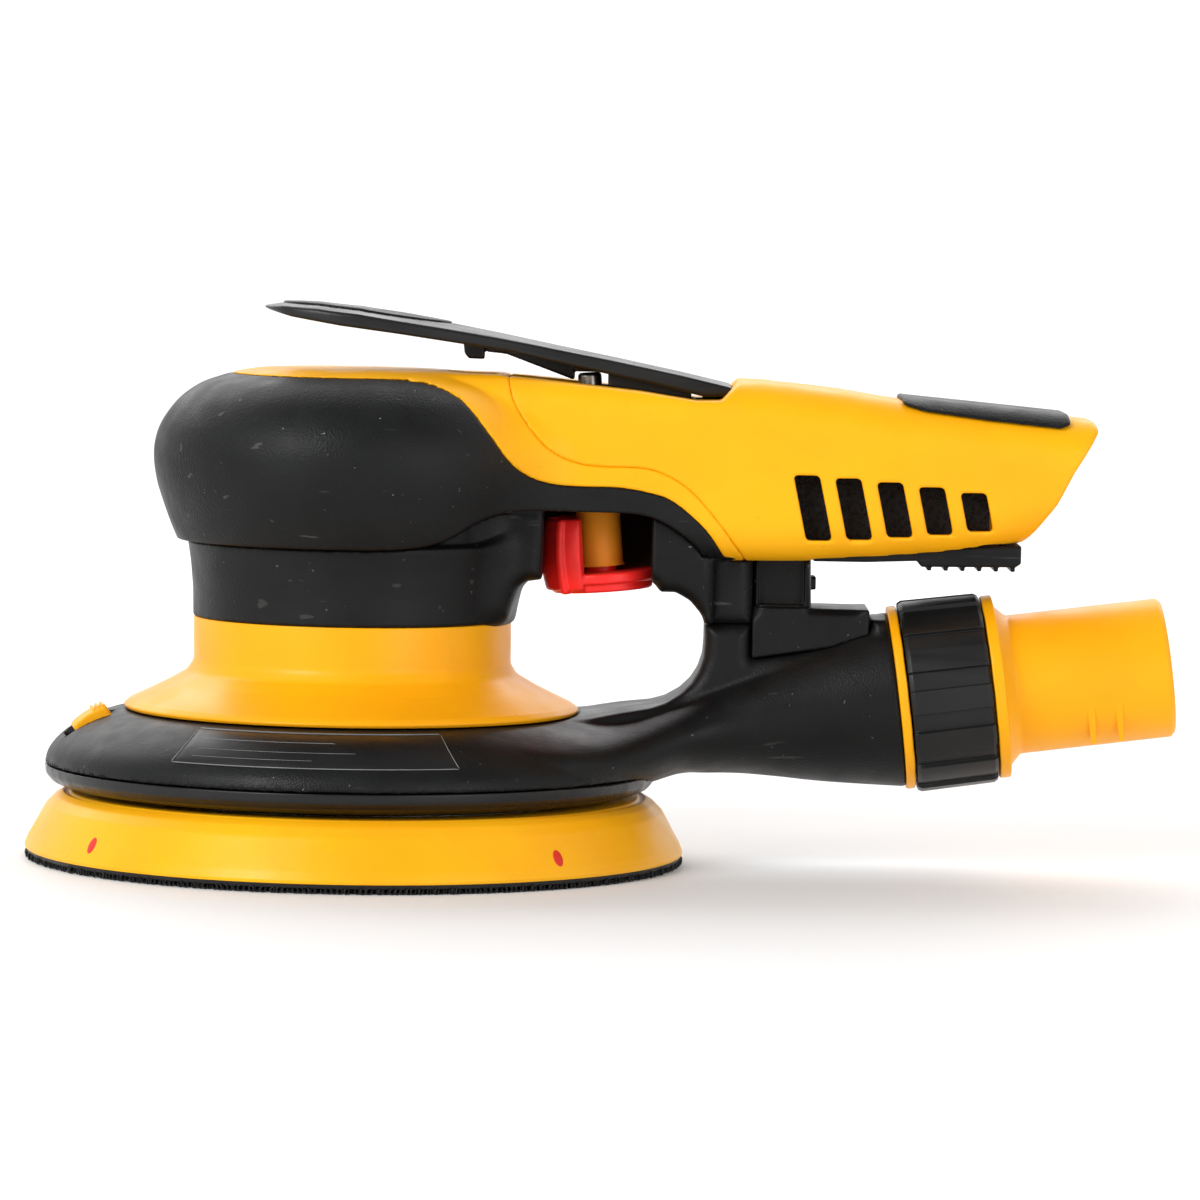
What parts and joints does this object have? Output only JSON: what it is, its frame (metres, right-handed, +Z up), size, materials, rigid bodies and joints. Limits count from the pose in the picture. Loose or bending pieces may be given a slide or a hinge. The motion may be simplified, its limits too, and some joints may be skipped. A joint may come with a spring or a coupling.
{
  "type": "pneumatic random orbital sander",
  "caption": "Palm-grip compressed-air random orbital sander: round foam pad under a dust shroud, mushroom grip, paddle lever, vented handle and a swivelling dust hose spigot.",
  "frame": {"origin": "where the motor axis meets the sanding plane, the underside of the hook face", "axes": "+Z up the motor axis, +X along the handle towards the dust hose, +Y completes the right-handed frame"},
  "size_m": [0.2183, 0.125, 0.106],
  "materials": {
    "grip_rubber": "soft matt black, fine leather-like grain",
    "housing_black": "glass-filled black nylon, fine spark-eroded grain",
    "cover_yellow": "golden yellow moulded nylon, satin",
    "ring_yellow": "golden yellow moulding, satin",
    "lever_black": "black moulding, semi-gloss with drag marks",
    "control_red": "bright red moulding",
    "sleeve_orange": "orange moulding",
    "foam_yellow": "moulded polyurethane foam with a smooth skin",
    "hook_black": "woven nylon hooks",
    "mark_red": "red plug",
    "seal_black": "glossy black nitrile",
    "plate_black": "blank plate",
    "muffler": "open-cell foam",
    "steel": "ground steel",
    "bearing_steel": "polished bearing steel",
    "aluminium": "turned aluminium",
    "vane_resin": "phenolic resin and cloth",
    "brass": "turned brass"
  },
  "bodies": {
    "root": {"palm_grip": "grip_rubber", "top_band": "cover_yellow", "handle_cover": "cover_yellow", "rear_grip_pad": "grip_rubber", "exhaust_grille": "housing_black", "muffler_foam": "muffler", "motor_housing": "housing_black", "air_inlet_bushing": "steel", "inlet_strainer": "brass", "lower_ring": "ring_yellow", "dust_shroud": "housing_black", "shroud_lip": "seal_black", "brake_seal": "seal_black", "name_plate": "plate_black", "duct_bracket": "housing_black", "bracket_screw": "steel", "hose_seat": "ring_yellow", "hose_seal": "seal_black", "valve_sleeve": "sleeve_orange", "valve_seat": "seal_black", "valve_spring": "steel", "lever_pin": "steel", "cylinder_liner": "steel", "cylinder_pin": "steel", "upper_end_plate": "aluminium", "lower_end_plate": "aluminium", "end_plate_orings": "seal_black", "lock_ring": "aluminium", "upper_bearing_outer": "bearing_steel", "lower_bearing_outer": "bearing_steel"},
    "rotor": {"rotor": "steel", "rotor_vanes": "vane_resin", "rotor_key": "steel", "balancer_shaft": "steel", "upper_bearing_inner": "bearing_steel", "upper_bearing_balls": "bearing_steel", "lower_bearing_inner": "bearing_steel", "lower_bearing_balls": "bearing_steel", "retaining_ring": "steel", "spindle_bearing_outer": "bearing_steel"},
    "pad": {"spindle": "steel", "spindle_washer": "steel", "spindle_bearing_inner": "bearing_steel", "spindle_bearing_balls": "bearing_steel", "pad_plate": "aluminium", "pad_stud": "steel", "pad_foam": "foam_yellow", "pad_wear_marks": "mark_red", "pad_hook_face": "hook_black"},
    "lever": {"throttle_lever": "lever_black", "lever_inlay": "grip_rubber"},
    "stem": {"valve_stem": "steel", "valve_poppet": "seal_black"},
    "control": {"speed_control": "control_red", "speed_control_oring": "seal_black"},
    "collar": {"hose_collar": "lever_black"},
    "spigot": {"hose_spigot": "ring_yellow"},
    "latch": {"shroud_latch": "cover_yellow"}
  },
  "joints": [
    {"name": "rotor_spin", "type": "hinge", "parent": "root", "child": "rotor", "pos_m": [0, 0, 0.06], "axis": [0, 0, 1], "continuous": true},
    {"name": "pad_spin", "type": "hinge", "parent": "rotor", "child": "pad", "pos_m": [0.001, -0.00229, 0.024], "axis": [0, 0, 1], "continuous": true},
    {"name": "lever_hinge", "type": "hinge", "parent": "root", "child": "lever", "pos_m": [0.0685, 0, 0.0856], "axis": [0, -1, 0], "range_deg": [0, 5], "stiffness_Nm_per_rad": 0.6, "springref_deg": -20.05},
    {"name": "valve_slide", "type": "slide", "parent": "root", "child": "stem", "axis": [0.0785, 0, -0.9969], "range_m": [0, 0.0022], "deforming": ["valve_spring"]},
    {"name": "speed_control_turn", "type": "hinge", "parent": "root", "child": "control", "pos_m": [0.04685, 0, 0.06], "axis": [-0.0785, 0, 0.9969], "range_deg": [-35, 35]},
    {"name": "collar_turn", "type": "hinge", "parent": "root", "child": "collar", "pos_m": [0.11356, 0, 0.03345], "axis": [0.9914, 0, 0.1305], "range_deg": [0, 60]},
    {"name": "hose_swivel", "type": "hinge", "parent": "root", "child": "spigot", "pos_m": [0.13339, 0, 0.03607], "axis": [0.9914, 0, 0.1305], "continuous": true},
    {"name": "latch_slide", "type": "slide", "parent": "root", "child": "latch", "axis": [-0.8371, -0.1356, -0.5299], "range_m": [0, 0.0016]}
  ],
  "couplings": [
    {"joint": "valve_slide", "follows": "lever_hinge", "m_per_rad": 0.0241}
  ]
}
